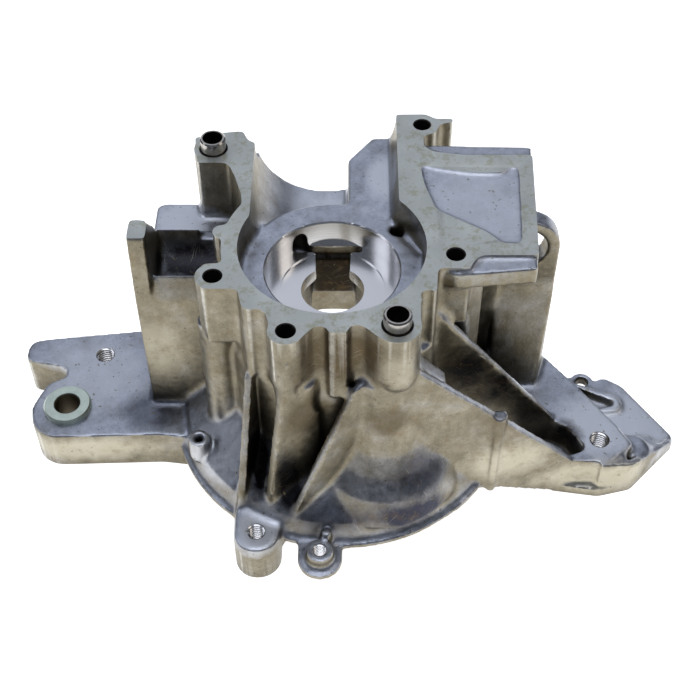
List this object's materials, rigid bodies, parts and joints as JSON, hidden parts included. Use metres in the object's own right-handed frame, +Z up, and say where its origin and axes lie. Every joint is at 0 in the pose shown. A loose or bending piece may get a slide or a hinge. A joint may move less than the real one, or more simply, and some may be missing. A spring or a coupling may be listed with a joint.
{
  "type": "two-stroke engine crankcase half",
  "caption": "Die-cast crankcase half of a small two-stroke engine, with main bearing seat, ribbed mounting arms, locating sleeves and a pressed steel bush.",
  "frame": {"origin": "on the crank axis at the mouth of the main bearing seat, mid-width", "axes": "+Z up along the crank axis, out of the parting face; +X towards the shelf and the right arm; +Y towards the cylinder opening"},
  "size_m": [0.2194, 0.1253, 0.0915],
  "materials": {
    "cast_aluminium": "as die-cast, lightly blasted, machined on the parting face and in the bearing seat",
    "sleeve_steel": "ground and polished",
    "bush_steel": "zinc-plated, satin"
  },
  "bodies": {
    "case": {"crankcase_casting": "cast_aluminium", "arm_bush": "bush_steel"},
    "front_sleeve": {"dowel_sleeve_front": "sleeve_steel"},
    "rear_sleeve": {"dowel_sleeve_rear": "sleeve_steel"}
  },
  "joints": [
    {"name": "front_sleeve_lift", "type": "slide", "parent": "case", "child": "front_sleeve", "axis": [0, 0, 1], "range_m": [0, 0.02]},
    {"name": "rear_sleeve_lift", "type": "slide", "parent": "case", "child": "rear_sleeve", "axis": [0, 0, 1], "range_m": [0, 0.02]}
  ]
}
